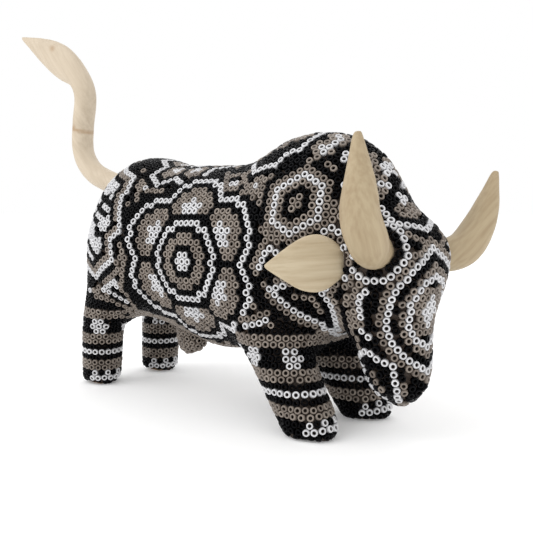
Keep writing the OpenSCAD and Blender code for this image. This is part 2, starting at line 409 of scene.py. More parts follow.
def fill(layout):
    """Carry the rows on over what is still bare: each new bead lies against two others."""
    queue = deque(range(len(layout.places)))
    while queue:
        i = queue.popleft()
        p, up = layout.places[i], layout.ups[i]
        around = sorted(layout.near(p, 1.3 * PITCH), key=lambda n: (layout.places[n] - p).length)
        for j in around:
            if j == i:
                continue
            link = layout.places[j] - p
            for side in (1, -1):
                over = up.cross(link).normalized() * side
                height = math.sqrt(max(PITCH ** 2 - link.length_squared / 4, (0.5 * PITCH) ** 2))
                n = layout.add(p + link / 2 + over * height)
                if n is not None:
                    queue.append(n)


def fill_gaps(layout, closest):
    """Put a bead in each gap that the rows left, the widest first."""
    tree = layout.tree()
    gaps = [(tree.find(Vector(p))[2], tuple(p)) for p in bead_points]
    for width, p in sorted(gaps, reverse=True):
        if width < closest * PITCH:
            break
        layout.add(Vector(p), closest=closest)


FILL_TURNS = 8
GAP_TURNS = 7
PUSH_REACH = 1.25           # beads nearer than this act on each other, in pitches
PUSH_APART = 0.3            # part of an overlap that one turn takes away
PULL_TOGETHER = 0.06        # and part of a gap


def relax(layout, turns):
    """Push beads that lie too close apart, and keep them on the surface."""
    for _ in range(turns):
        tree = layout.tree()
        moved = []
        for n, p in enumerate(layout.places):
            push = Vector()
            for q, m, distance in tree.find_range(p, PUSH_REACH * PITCH):
                if m != n and distance > 1e-9:
                    strength = PUSH_APART if distance < PITCH else PULL_TOGETHER
                    push += (p - q) / distance * (PITCH - distance) * strength
            place, up = on_surface(p + push)
            place.z = max(place.z, SOLE_GAP)
            if any(root_distance(place, name) < ROOT_GAP for name in CARVINGS):
                place = p
            moved.append((place, up))
        layout.move(moved)


# ---- The motifs: places on the bull's right side, in millimetres. The left side mirrors them. ----
# Most of these places, and of those in the paint functions below, were measured from the photograph: marks
# read off it by eye were cast onto the CAD model by a scratch program, which printed them rounded to half a
# millimetre. Some were then moved one by one. They don't follow the frame, so they need placing again if the
# sizes of the CAD model change.

FLANK = (25.7, -23, 45)
SHOULDER = (62.5, -19.5, 60.2)
BACK = (11, 0, 76)
FACE = (92, 0, 34.6)

# Rows of white beads that are laid before the ground round them
LINES = {
    "rump": [
        (-21, -3, 73), (-14, -12, 72), (-7, -14, 69.5), (-6, -18, 65), (-7.5, -19.5, 63), (-4, -22.5, 57),
        (-3, -24, 53), (-6.5, -24.5, 50), (-5.5, -24.5, 44), (-17, -23, 37.5), (-22, -20, 41), (-26, -14, 38),
        (-28, -6, 42), (-28, 0, 39)],
    "hump": [
        (40.5, -9.5, 72.5), (44.5, -13.5, 70), (49.5, -14, 71.5), (53.5, -14, 72), (55, -11.5, 75),
        (58.5, -11, 76), (60, -6, 79.5), (61, 0, 81)],
    "ear_curl": [(58.5, -21, 48.5), (56.5, -21.5, 50), (55, -21.5, 48), (53, -22, 44.5)],
    "neck_curl": [
        (59.5, -19.5, 40), (55.5, -21, 38.5), (58, -19, 36), (60.5, -17, 33.5), (64, -12, 30.5),
        (65.5, -8, 28), (64.5, -4, 26), (64, 0, 25)],
    "throat": [(71.5, -15.5, 41.5), (69, -15, 38.5), (70.5, -13.5, 35.5), (69.5, -10, 31), (67, -4.5, 27)],
    "cheek": [(73, -15.5, 41.5), (75, -15.5, 41.5), (77.5, -16, 43.5), (79.5, -16.5, 46)],
    "chest": [(49, -23, 28.5), (52, -22.5, 30), (54.5, -21, 30.5)],
    "brow": [(82.5, -8.5, 60.5), (85.5, -8.5, 57.5), (87.5, -7.5, 57), (89, -4.5, 56), (90.5, 0, 55.5)],
    "face_inner": [
        (93, 0, 43), (92.5, -4.5, 42), (92, -6, 40.5), (91, -7.5, 37.5), (89.5, -6.5, 33), (89.5, -6, 30),
        (90.5, -3, 27), (91, 0, 25.5)],
    "face_outer": [
        (92.5, 0, 50.5), (92.5, -3, 49.5), (92, -8, 46), (90, -11.5, 42), (87, -11.5, 37), (85, -10, 31),
        (86, -9, 27.5), (88.5, -6, 23), (91, 0, 19.5)],
    "jaw": [(82.5, -15, 40), (80, -15, 38.5), (79.5, -13.5, 35), (79, -12.5, 33)],
    "nostril": [
        (81.5, -4, 12), (79, -5, 15), (76.5, -6, 18.5), (75, -8, 22.5), (77.5, -9, 24), (80.5, -10, 23.5),
        (86, -8, 20.5), (86.5, -7, 16.5), (86, -6, 13.5), (85, -4, 11.5)],
    "hip": [
        (-7.5, -21.5, 35.5), (-6.5, -23, 38), (-11.5, -22, 35), (-14, -21.5, 33), (-10.5, -20.5, 32),
        (-7.5, -18, 29.5)],
}

LOW_LINES = ["throat", "neck_curl", "chest"]     # these run in between the rows of the front legs


def at(x, y, z, side=1):
    return Vector((x, y * side, z)) * MM


# A flower on a lattice: how far its rim lies from the middle at each angle from a spoke (low), and its rings.
# Its petals are taupe with white hearts, and black lines part them.
FLANK_FLOWER = {"rim": [10, 10, 10, 10, 9, 9, 8, 7], "eye": 1, "disc": 3, "crown": 6, "heart": (3, 9)}
BACK_FLOWER = {"rim": [6, 6, 6, 6, 5, 4], "eye": 0, "disc": 0, "crown": 2, "heart": (2, 5)}


def rim_at(flower, low):
    return flower["rim"][min(low, len(flower["rim"]) - 1)]


def sector(a, b):
    """The two smaller steps, both above or at zero, that lead from the middle of the lattice to a cell."""
    low, high, _ = sorted(abs(step) for step in (a, b, a + b))
    return low, high


def in_flower(flower):
    def wanted(a, b):
        low, high = sector(a, b)
        return high <= rim_at(flower, low) + 1
    return wanted


def in_disc(radius):
    return lambda a, b: max(abs(a), abs(b), abs(a + b)) <= radius


def lay_lines(layout, names):
    for name in names:
        for side in (1, -1):
            lay_line(layout, f"{name}{side}", [at(*p, side) for p in LINES[name]])


FACE_RINGS = 2
SHOULDER_RINGS = 5
RING_SLACK = 0.05 * MM


def lay_beads():
    layout = Layout()
    lay_lines(layout, LOW_LINES)
    for mount in frame["record"]["mounts"]:
        lay_leg(layout, mount["name"], Vector(mount["pos_m"]))
    for side in (1, -1):
        lay_lattice(layout, f"flank{side}", at(*FLANK, side), Vector((side, 0, 0)), in_flower(FLANK_FLOWER))
    lay_lattice(layout, "back", at(*BACK), Vector((0, 1, 0)), in_flower(BACK_FLOWER))
    lay_lattice(layout, "face", at(*FACE), Vector((0, 1, 0)), in_disc(FACE_RINGS))
    for carving in CARVINGS:
        for number in range(1, 3 if carving in HORNS else 2):
            lay_ring(layout, carving, number, ROOT_GAP + (number - 1) * ROW + RING_SLACK)
    lay_lines(layout, [name for name in LINES if name not in LOW_LINES])
    for side in (1, -1):
        shoulder = at(*SHOULDER, side)
        lay_lattice(layout, f"shoulder{side}", shoulder, Vector((0, 0, 1)), in_disc(SHOULDER_RINGS))
    fill(layout)
    relax(layout, FILL_TURNS)
    for closest in GAP_WIDTHS:
        fill_gaps(layout, closest)
        relax(layout, GAP_TURNS)
    return layout


layout = lay_beads()
layout.measure_room()


# ---- The colours ----

TOUCH_REACH = 1.36          # beads nearer than this touch, in pitches


class Pattern:
    """The colour of each bead, painted by walking from bead to bead."""

    def __init__(self, layout):
        self.tree = layout.tree()
        self.places, self.ups, self.tags = layout.places, layout.ups, layout.tags
        self.touching = [
            [m for _, m, _ in self.tree.find_range(p, TOUCH_REACH * PITCH) if m != n]
            for n, p in enumerate(self.places)
        ]
        self.colour = [BLACK] * len(self.places)

    def nearest(self, p):
        return self.tree.find(p)[1]

    def tagged(self, name):
        """The beads that one motif laid, by their places in it."""
        return {tag[1:]: n for n, tag in enumerate(self.tags) if tag and tag[0] == name}

    def rings(self, start, reach):
        """How many steps each bead is from the nearest in start, as far as reach."""
        found = {n: 0 for n in start}
        queue = deque(start)
        while queue:
            n = queue.popleft()
            if found[n] == reach:
                continue
            for m in self.touching[n]:
                if m not in found:
                    found[m] = found[n] + 1
                    queue.append(m)
        return found

    def chain(self, points):
        """The beads on the shortest walk through some points."""
        walk = [self.nearest(points[0])]
        for goal in (self.nearest(p) for p in points[1:]):
            best = {walk[-1]: 0.0}
            came = {}
            heap = [(0.0, walk[-1])]
            while heap:
                cost, n = heapq.heappop(heap)
                if n == goal:
                    break
                if cost > best[n]:
                    continue
                for m in self.touching[n]:
                    step = cost + (self.places[m] - self.places[n]).length ** 1.5
                    if step < best.get(m, math.inf):
                        best[m] = step
                        came[m] = n
                        heapq.heappush(heap, (step, m))
            leg = [goal]
            while leg[-1] != walk[-1] and leg[-1] in came:
                leg.append(came[leg[-1]])
            walk += leg[::-1][1:]
        return walk

    def beside(self, line, left, ring):
        """The beads that are ring steps from a line, on the left of the way it runs or on the right."""
        found = []
        for n, steps in self.rings(line, ring).items():
            if steps == ring:
                near = min(range(len(line)), key=lambda k: (self.places[line[k]] - self.places[n]).length)
                ahead, behind = line[min(near + 1, len(line) - 1)], line[max(near - 1, 0)]
                way = self.places[ahead] - self.places[behind]
                if (way.cross(self.places[n] - self.places[line[near]]).dot(self.ups[n]) > 0) == left:
                    found.append(n)
        return found

    def paint(self, beads, colour):
        for n in beads:
            self.colour[n] = colour


class Flank:
    """The same tools for one side of the bull. Points are in millimetres, as on the right side."""

    def __init__(self, pattern, side):
        self.pattern, self.side = pattern, side

    def line(self, name):
        laid = self.pattern.tagged(f"{name}{self.side}")
        return [laid[key] for key in sorted(laid)]

    def beside(self, name, way, *rings):
        left = (way == "left") == (self.side == 1)
        line = self.line(name)
        return [n for ring in rings for n in self.pattern.beside(line, left, ring)]

    def paint(self, beads, colour):
        self.pattern.paint(beads, colour)

    def stroke(self, colour, *points):
        self.pattern.paint(self.pattern.chain([at(*p, self.side) for p in points]), colour)

    def dots(self, colour, *points):
        self.pattern.paint([self.pattern.nearest(at(*p, self.side)) for p in points], colour)

    def patch(self, colour, reach, *points):
        """All the beads within reach, in millimetres, of a line through some points."""
        ends = [at(*p, self.side) for p in points]
        for p, q in zip(ends, ends[1:] or ends):
            for n in range(9):
                spot = p.lerp(q, n / 8)
                self.pattern.paint([m for _, m, _ in self.pattern.tree.find_range(spot, reach * MM)], colour)


def paint_flower(pattern, name, flower):
    eye, disc, crown = flower["eye"], flower["disc"], flower["crown"]
    heart_low, heart_ring = flower["heart"]
    for (a, b), n in pattern.tagged(name).items():
        low, high = sector(a, b)
        ring = low + high
        rim = rim_at(flower, low)
        colour = BLACK
        if ring <= eye or high == rim or ring == crown - (low == 0):
            colour = WHITE
        elif disc and ring == disc + (low > 0) or disc and ring == disc:
            colour = TAUPE
        elif ring >= crown + 2 and low >= 1 and high <= rim - 2:
            colour = WHITE if low >= heart_low and (ring <= heart_ring or low == high == 5) else TAUPE
        pattern.colour[n] = colour


def paint_shoulder(flank):
    """Rings round a knot of four taupe beads."""
    laid = flank.pattern.tagged(f"shoulder{flank.side}")
    knot = ((0, 0), (1, 0), (1, -1), (2, -1)) if flank.side == 1 else ((0, 0), (1, 0), (0, 1), (1, 1))
    middle = [laid[cell] for cell in knot if cell in laid]
    colours = [TAUPE, BLACK, TAUPE, WHITE, TAUPE]
    for n, ring in flank.pattern.rings(middle, 4).items():
        flank.pattern.colour[n] = colours[ring]


RUMP_FOOT = 38 * MM


def paint_rump(flank):
    """White petals round the tail, parted by black bars, inside a white line that runs in steps."""
    behind = flank.beside("rump", "right", *range(3, 14))
    flank.paint([n for n in behind if flank.pattern.places[n].z > RUMP_FOOT], WHITE)
    flank.paint(flank.beside("rump", "right", 2), BLACK)
    flank.paint(flank.beside("rump", "right", 1), TAUPE)
    flank.stroke(BLACK, (-11, -20, 61.5), (-16.5, -18, 63.5), (-22, -14, 65))
    flank.stroke(BLACK, (-14, -21.5, 57.5), (-21, -17, 60.5))
    flank.stroke(BLACK, (-11.5, -24, 52), (-16.5, -22.5, 53.5), (-22, -18, 57))
    flank.stroke(BLACK, (-12, -24, 44), (-17, -23, 47), (-20, -20, 49))
    flank.stroke(BLACK, (-22, -18, 45), (-24, -14, 50), (-26, -8, 54))


def paint_hip(flank):
    """A white triangle with a black middle inside a taupe one, and the taupe column over it."""
    flank.stroke(
        TAUPE, (-2.5, -24.5, 48.5), (-1, -24.5, 47), (-2, -24.5, 43), (-5.5, -24, 40), (-17.5, -21.5, 33.5))
    flank.stroke(
        TAUPE, (0.5, -24.5, 44), (-2, -24, 41), (-5, -22, 36), (-6.5, -17.5, 30.5), (-6.5, -14.5, 27.5))
    flank.stroke(TAUPE, (-18.5, -21, 31.5), (-14.5, -20.5, 31), (-10.5, -17.5, 28.5), (-9, -15, 27))
    flank.dots(TAUPE, (-20, -21.5, 34), (-20, -21.5, 32))
    flank.dots(WHITE, (-22.5, -21, 32.5))
    flank.dots(BLACK, (-10, -21.5, 34.5))


def paint_back(flank):
    """The taupe patches between the flowers of the back and the flank, and the lone beads near them."""
    flank.dots(TAUPE, (-15.5, -7, 74.5), (-6, -11.5, 71.5), (-2, -20.5, 61))
    flank.patch(TAUPE, 1.5, (-2.5, -15, 68), (-1, -17, 65), (0, -19, 63))
    flank.patch(TAUPE, 1.5, (0, -16.5, 66), (8.5, -16.5, 65.5))
    flank.dots(WHITE, (0, -16.5, 66))
    flank.patch(TAUPE, 1.3, (30.5, -10.5, 70), (33.5, -14, 67.5), (36, -16, 65.5))
    flank.patch(TAUPE, 1.3, (34.5, -11, 70), (41, -12.5, 69.5))
    flank.stroke(
        TAUPE, (37.5, -15.5, 66), (41, -14, 68.5), (43.5, -15.5, 67), (46, -16, 68), (53.5, -16.5, 68.5))
    flank.stroke(TAUPE, (43.5, -17, 65), (47.5, -18.5, 64), (50.5, -17.5, 66.5), (50.5, -19.5, 61.5))
    flank.dots(WHITE, (36, -14, 67.5), (38.5, -14, 68), (48.5, -17.5, 66))


def paint_hump(flank):
    """A taupe crest along the top of the hump, a white knot on it, and the lines that run down from it."""
    flank.patch(TAUPE, 1.9, (29, -4, 73), (32, -6, 73))
    flank.dots(WHITE, (35.5, -5, 74), (38, -7, 74))
    flank.patch(TAUPE, 2.2, (40, -6, 74.5), (49.5, -7, 77.5), (56, -4, 80))
    flank.stroke(BLACK, (46.5, -9, 76), (47.5, -5, 77.5), (48, -1, 78.5))
    flank.patch(WHITE, 1.2, (44, -1.5, 76.5), (50, -1, 79), (56, -1, 81))
    knot_line = ((66, -5, 79), (66.5, -7.5, 77.5), (66.5, -10, 75))
    knot = flank.pattern.chain([at(*p, flank.side) for p in knot_line])
    knot += [flank.pattern.nearest(at(65, -9.5, 76, flank.side))]
    flank.paint([n for n, ring in flank.pattern.rings(knot, 1).items()], TAUPE)
    flank.paint(knot, WHITE)
    flank.dots(TAUPE, (63, -13.5, 72.5), (69, -12.5, 71), (71, -12.5, 70))
    flank.dots(WHITE, (72, -8, 74.5), (72, -9.5, 73), (74, -12.5, 66.5))
    flank.patch(TAUPE, 1.8, (74, -14.5, 61.5), (73.5, -15.5, 59))


def paint_nape(flank):
    """Knots of white beads down the nape between the horns, and a taupe patch over the brow."""
    flank.patch(TAUPE, 1.9, (76.5, -3, 73.5), (79, -5, 69), (81, -7, 64.5))
    flank.patch(TAUPE, 2.4, (86, -3.5, 60), (86, 0, 60))
    flank.patch(WHITE, 1.3, (78, -2.5, 71.5), (80, -2.5, 69.5))
    flank.patch(WHITE, 1.4, (80.5, -5.5, 67), (81.5, -3.5, 66.5))
    flank.patch(WHITE, 1.3, (83, -2.5, 64), (84, -1, 62.5))
    flank.stroke(WHITE, (78.5, 1.5, 71), (80, 1.5, 69))


def paint_neck(flank):
    """The curls of white and taupe beads round the ear, and the taupe beads between it and the horn."""
    flank.paint(flank.beside("ear_curl", "right", 1), TAUPE)
    flank.stroke(TAUPE, (54, -21.5, 54), (57.5, -21.5, 51.5), (59.5, -21, 50.5))
    flank.patch(TAUPE, 1.6, (62, -17.5, 37.5), (65.5, -15.5, 37), (66.5, -13.5, 34.5), (67, -11.5, 32))
    flank.paint(flank.beside("neck_curl", "right", 1), TAUPE)
    flank.paint(flank.beside("chest", "left", 1), TAUPE)
    flank.dots(TAUPE, (52, -22.5, 34), (56.5, -20, 30))
    flank.paint(flank.beside("throat", "left", 1), TAUPE)
    flank.stroke(TAUPE, (73, -16.5, 52.5), (76.5, -16, 50.5), (77, -16.5, 46.5), (73.5, -15, 43))
    flank.stroke(WHITE, (70.5, -17.5, 54.5), (75.5, -15.5, 54))


def paint_face(flank):
    """White and taupe rings round a white patch on the nose, and a broken line down the cheek."""
    flank.paint(flank.beside("jaw", "right", 1, 2), TAUPE)
    flank.stroke(TAUPE, (77.5, -12, 32), (75.5, -10.5, 30), (75.5, -8.5, 26))
    flank.stroke(WHITE, (78.5, -11, 30), (80, -10.5, 28))
    flank.paint(flank.beside("face_outer", "right", 1), TAUPE)
    flank.paint(flank.beside("face_inner", "right", 1), TAUPE)
    flank.stroke(TAUPE, (90.5, -8.5, 53.5), (91.5, -5, 52.5), (92, 0, 52.5))
    flank.stroke(TAUPE, (92, -4, 50.5), (92, -7.5, 48.5))
    laid = flank.pattern.tagged("face")
    middle = [n for (a, b), n in laid.items() if max(abs(a), abs(b), abs(a + b)) <= 1]
    flank.paint([n for n in flank.pattern.rings(middle, 2) if n not in middle], TAUPE)
    flank.paint(middle, WHITE)
    flank.dots(WHITE, (92, -1, 30.5), (92, -1, 38.7))


def paint_muzzle(flank):
    """A black leaf with a few taupe beads, for the nostril."""
    flank.stroke(TAUPE, (80.5, -8, 17.5), (81.5, -7.5, 14))
    flank.stroke(TAUPE, (87.5, -6, 16.5), (87.5, -4.5, 12))
    flank.stroke(TAUPE, (84, -2, 10), (86, -1, 9.5))


UNDER_LOW, UNDER_HIGH = at(-13, -14, 8), at(31, 0.1, 27)


def paint_under(flank):
    """Taupe over the belly and the sheath that hangs from it."""
    places = [Vector((p.x, p.y * flank.side, p.z)) for p in flank.pattern.places]
    flank.paint([n for n, p in enumerate(places) if all(
        low <= c <= high for low, c, high in zip(UNDER_LOW, p, UNDER_HIGH))], TAUPE)


LEG_COLOURS = [BLACK, BLACK, BLACK, TAUPE, TAUPE, BLACK, WHITE, BLACK, TAUPE, TAUPE]
LEG_FLOWER_ROW = 11
LEG_TOP_ROWS = (13, 14)
HOOF_TOP = 2
HOOF_FRONT = math.radians(62)
REAR_FLOWERS = (50, 140, 230, 320)      # the way that each flower faces, in degrees outward from the front
FRONT_FLOWERS = (28, 96, 164)


def paint_leg(pattern, name, sole):
    """Bands of one colour, white flowers of seven beads over them, and white teeth on the hoof's front."""
    laid = pattern.tagged(name)
    rows = {}
    for (row, n), bead in sorted(laid.items()):
        rows.setdefault(row, []).append(bead)
    for row, beads in rows.items():
        if row < len(LEG_COLOURS):
            pattern.paint(beads, LEG_COLOURS[row])
        elif row in LEG_TOP_ROWS:
            pattern.paint(beads, TAUPE)

    def turn(bead, middle):
        p = pattern.places[bead] - middle
        return math.atan2(p.y * (1 if sole.y > 0 else -1), p.x)

    front = sorted((bead for bead in rows[HOOF_TOP] if abs(turn(bead, sole)) < HOOF_FRONT),
                   key=lambda bead: turn(bead, sole))
    for tooth in front[::-2]:
        pattern.paint([tooth] + [n for n in pattern.touching[tooth] if n in rows[HOOF_TOP - 1]], WHITE)
    ring = [pattern.places[bead] for bead in rows[LEG_FLOWER_ROW]]
    middle = (Vector(np.min(ring, 0)) + Vector(np.max(ring, 0))) / 2
    for angle in FRONT_FLOWERS if sole.x > 0 else REAR_FLOWERS:
        off = {bead: abs(math.remainder(turn(bead, middle) - math.radians(angle), 2 * math.pi))
               for bead in rows[LEG_FLOWER_ROW]}
        heart = min(off, key=off.get)
        if off[heart] < math.radians(20):
            for row, count in ((LEG_FLOWER_ROW - 1, 2), (LEG_FLOWER_ROW, 3), (LEG_FLOWER_ROW + 1, 2)):
                near = sorted(
                    rows[row], key=lambda bead: (pattern.places[bead] - pattern.places[heart]).length)
                pattern.paint(near[:count], WHITE)


def paint_all(pattern):
    for mount in frame["record"]["mounts"]:
        paint_leg(pattern, mount["name"], Vector(mount["pos_m"]))
    paint_flower(pattern, "back", BACK_FLOWER)
    for side in (1, -1):
        flank = Flank(pattern, side)
        paint_under(flank)
        paint_flower(pattern, f"flank{side}", FLANK_FLOWER)
        for paint in (
                paint_rump, paint_hip, paint_back, paint_hump, paint_nape, paint_neck, paint_face,
                paint_muzzle, paint_shoulder):
            paint(flank)
    for carving in CARVINGS:
        for (number, n), bead in pattern.tagged(carving).items():
            pattern.colour[bead] = WHITE if number == 2 else BLACK
    for side in (1, -1):
        for name in LINES:
            laid = [pattern.places[n] for n in Flank(pattern, side).line(name)]
            pattern.paint(pattern.chain(laid or [at(*p, side) for p in LINES[name]]), WHITE)


pattern = Pattern(layout)
paint_all(pattern)


# ---- Beads ----

BEAD_SIDES = 14
PROFILE_POINTS = 8
SHADE_FREE_PROFILE = [1, 1, 1, 0.15, 0, 0, 0, 0.45]      # how much of its glass colour each point of the profile keeps; the rest is painted shade, about as dark as wax, in the hole and low on the sides between beads


def bead_shape():
    """A ring with a round hole along Z, as points and faces of four corners."""
    middle, half = (BEAD_R + HOLE_R) / 2, (BEAD_R - HOLE_R) / 2
    points, faces = [], []
    for s in range(BEAD_SIDES):
        turn = 2 * math.pi * s / BEAD_SIDES
        for k in range(PROFILE_POINTS):
            angle = 2 * math.pi * (k + 0.5) / PROFILE_POINTS
            c, z = math.cos(angle), math.sin(angle)
            r = middle + half * math.copysign(abs(c) ** 0.8, c)
            height = BEAD_H / 2 * math.copysign(abs(z) ** 0.8, z)
            points.append((r * math.cos(turn), r * math.sin(turn), height))
            ahead = (s + 1) % BEAD_SIDES
            up = (k + 1) % PROFILE_POINTS
            faces.append([
                s * PROFILE_POINTS + k, ahead * PROFILE_POINTS + k,
                ahead * PROFILE_POINTS + up, s * PROFILE_POINTS + up])
    return np.array(points), np.array(faces)


def mesh_of_quads(name, points, quads):
    mesh = bpy.data.meshes.new(name)
    mesh.vertices.add(len(points))
    mesh.vertices.foreach_set("co", np.asarray(points, np.float32).ravel())
    mesh.loops.add(len(quads) * 4)
    mesh.loops.foreach_set("vertex_index", np.asarray(quads, np.int32).ravel())
    mesh.polygons.add(len(quads))
    mesh.polygons.foreach_set("loop_start", np.arange(0, len(quads) * 4, 4, dtype=np.int32))
    mesh.update(calc_edges=True)
    mesh.shade_smooth()
    return mesh


def frame_of(up):
    side = up.orthogonal().normalized()
    return np.array([side, up.cross(side), up])


def bead_piece(name, numbers, material):
    shape, faces = bead_shape()
    points, quads, shades = [], [], []
    clean = np.tile(SHADE_FREE_PROFILE, BEAD_SIDES)
    for count, n in enumerate(numbers):
        lean = Vector((rng.gauss(0, 0.06), rng.gauss(0, 0.06), rng.gauss(0, 0.06)))
        axes = frame_of((layout.ups[n] + lean).normalized())
        room = min(1.02, max(0.88, layout.room[n]))
        size = np.array([room, room, rng.uniform(0.9, 1.06)]) * rng.uniform(0.98, 1.02)
        points.append((shape * size) @ axes + np.array(layout.places[n]))
        quads.append(faces + count * len(shape))
        shades.append(np.full(len(shape), rng.random()))
    mesh = mesh_of_quads(name, np.concatenate(points), np.concatenate(quads))
    shade = mesh.attributes.new("shade", "FLOAT", "POINT")
    shade.data.foreach_set("value", np.concatenate(shades).astype(np.float32))
    # How much of the glass colour each point keeps; the rest is painted shade in the hole and low between
    # beads
    unshaded_layer = mesh.attributes.new("clean", "FLOAT", "POINT")
    unshaded_layer.data.foreach_set("value", np.tile(clean, len(numbers)).astype(np.float32))
    mesh.materials.append(material)
    obj = bpy.data.objects.new(name, mesh)
    bpy.context.scene.collection.objects.link(obj)
    return obj


# ---- Materials ----

def new_material(name):
    material = bpy.data.materials.new(name)
    material.use_nodes = True
    nodes = material.node_tree.nodes
    return material, nodes, material.node_tree.links, nodes["Principled BSDF"]


def bump_node(nodes, links, shader, height, depth):
    """Let a height between 0 and 1 stand up to depth metres out of the surface."""
    bump = nodes.new("ShaderNodeBump")
    bump.inputs["Strength"].default_value = 0.6
    bump.inputs["Distance"].default_value = depth
    links.new(height, bump.inputs["Height"])
    links.new(bump.outputs["Normal"], shader.inputs["Normal"])


def ramp_node(nodes, dark, light):
    ramp = nodes.new("ShaderNodeValToRGB")
    ramp.color_ramp.elements[0].color = (*dark, 1)
    ramp.color_ramp.elements[1].color = (*light, 1)
    return ramp


def attribute_node(nodes, name):
    node = nodes.new("ShaderNodeAttribute")
    node.attribute_name = name
    return node


def glass_beads(name, dark, light, wax, roughness, gloss):
    """Glass whose colour differs a little from bead to bead, with painted shade, about as dark as wax, in the
    holes and low between the beads.
    """
    material, nodes, links, shader = new_material(name)
    shade = attribute_node(nodes, "shade")
    clean = attribute_node(nodes, "clean")
    ramp = ramp_node(nodes, dark, light)
    mix = nodes.new("ShaderNodeMix")
    mix.data_type = "RGBA"
    links.new(shade.outputs["Fac"], ramp.inputs["Fac"])
    links.new(clean.outputs["Fac"], mix.inputs["Factor"])
    # The wax colour here is painted shade for the holes and the low sides between beads, darkened to suit
    # each glass
    mix.inputs["A"].default_value = (*wax, 1)
    links.new(ramp.outputs["Color"], mix.inputs["B"])
    links.new(mix.outputs["Result"], shader.inputs["Base Color"])
    shader.inputs["Roughness"].default_value = roughness
    shader.inputs["Specular IOR Level"].default_value = gloss
    return material


# Each: darkest and lightest glass, the painted shade in its holes and low between beads, roughness and gloss
BEADS = {
    BLACK: glass_beads(
        "beads_black", (0.001, 0.001, 0.0015), (0.003, 0.003, 0.004), (0.001, 0.001, 0.001), 0.25, 0.05),
    WHITE: glass_beads(
        "beads_white", (0.60, 0.60, 0.615), (0.72, 0.72, 0.735), (0.05, 0.038, 0.03), 0.28, 0.4),
    TAUPE: glass_beads(
        "beads_taupe", (0.17, 0.14, 0.117), (0.28, 0.238, 0.202), (0.018, 0.012, 0.008), 0.25, 0.35),
}


def wax_material():
    material, nodes, links, shader = new_material("brown_wax")
    mottle = nodes.new("ShaderNodeTexNoise")
    mottle.inputs["Scale"].default_value = 400
    ramp = ramp_node(nodes, (0.016, 0.009, 0.005), (0.05, 0.028, 0.015))
    links.new(mottle.outputs["Fac"], ramp.inputs["Fac"])
    links.new(ramp.outputs["Color"], shader.inputs["Base Color"])
    bump_node(nodes, links, shader, mottle.outputs["Fac"], 0.3 * MM)
    shader.inputs["Roughness"].default_value = 0.5
    return material


def wood_material(name, pale, deep, carved=True):
    """Fine streaks along the grain, soft broad bands, and brown marks where the mesh says so."""
    material, nodes, links, shader = new_material(name)
    if carved:
        grain = attribute_node(nodes, "grain").outputs["Vector"]
    else:
        grain = nodes.new("ShaderNodeTexCoord").outputs["Object"]
    marks = attribute_node(nodes, "mark")
    colour = None
    for across, along, share in ((1100, 55, 0.6), (260, 22, 0.4)):
        stretch = nodes.new("ShaderNodeMapping")
        stretch.inputs["Scale"].default_value = (along, across, across)
        streaks = nodes.new("ShaderNodeTexNoise")
        streaks.inputs["Scale"].default_value = 1
        streaks.inputs["Detail"].default_value = 3
        ramp = ramp_node(nodes, deep, pale)
        ramp.color_ramp.elements[0].position = 0.3
        ramp.color_ramp.elements[1].position = 0.62
        links.new(grain, stretch.inputs["Vector"])
        links.new(stretch.outputs["Vector"], streaks.inputs["Vector"])
        links.new(streaks.outputs["Fac"], ramp.inputs["Fac"])
        if colour is None:
            colour = ramp.outputs["Color"]
            bump_node(nodes, links, shader, streaks.outputs["Fac"], 0.08 * MM)
        else:
            mix = nodes.new("ShaderNodeMix")
            mix.data_type = "RGBA"
            mix.inputs["Factor"].default_value = share
            links.new(colour, mix.inputs["A"])
            links.new(ramp.outputs["Color"], mix.inputs["B"])
            colour = mix.outputs["Result"]
    stain = nodes.new("ShaderNodeMix")
    stain.data_type = "RGBA"
    stain.inputs["B"].default_value = (0.33, 0.19, 0.085, 1)
    links.new(marks.outputs["Fac"], stain.inputs["Factor"])
    links.new(colour, stain.inputs["A"])
    links.new(stain.outputs["Result"], shader.inputs["Base Color"])
    shader.inputs["Roughness"].default_value = 0.55
    shader.inputs["Specular IOR Level"].default_value = 0.3
    return material


HORN_WOOD = wood_material("horn_wood", (0.44, 0.352, 0.225), (0.335, 0.25, 0.15))
EAR_WOOD = wood_material("ear_wood", (0.57, 0.48, 0.335), (0.42, 0.33, 0.21))
TAIL_WOOD = wood_material("tail_wood", (0.59, 0.50, 0.385), (0.49, 0.405, 0.30))
CARVING_WOOD = {"horn_right": HORN_WOOD, "horn_left": HORN_WOOD, "ear_right": EAR_WOOD, "ear_left": EAR_WOOD,
                "tail": TAIL_WOOD}
CORE_WOOD = wood_material("core_wood", (0.30, 0.19, 0.10), (0.20, 0.12, 0.06), carved=False)
DOWEL_WOOD = wood_material("dowel_wood", (0.34, 0.21, 0.11), (0.24, 0.14, 0.07), carved=False)


# ---- The pieces ----

def place_piece(obj, slot, *replaced):
    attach(obj, "root")
    if replaced:
        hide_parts(*replaced)


REGIONS = ["rump", "loin", "shoulder", "head"]
REGION_EDGES = [4 * MM, 42 * MM, 72 * MM]


def bead_pieces():
    groups = {}
    for n, place in enumerate(layout.places):
        region = REGIONS[sum(place.x > edge for edge in REGION_EDGES)]
        side = "right" if place.y < 0 else "left"
        groups.setdefault((pattern.colour[n], region, side), []).append(n)
    for (colour, region, side), numbers in sorted(groups.items()):
        obj = bead_piece(f"beads_{colour}_{region}_{side}", numbers, BEADS[colour])
        place_piece(obj, f"beads_{colour}", "bead_coat")


def wax_piece():
    inward = skin_normals * WAX_BELOW
    inward[:, 2] *= np.clip(skin_points[:, 2] / HOOF_EDGE, 0, 1)
    points = skin_points - inward
    points[:, 2] = np.maximum(points[:, 2], 0.02 * MM)
    obj = new_object("wax", points, skin_faces)
    obj.data.materials.append(wax_material())
    place_piece(obj, "wax", "wax_coat")


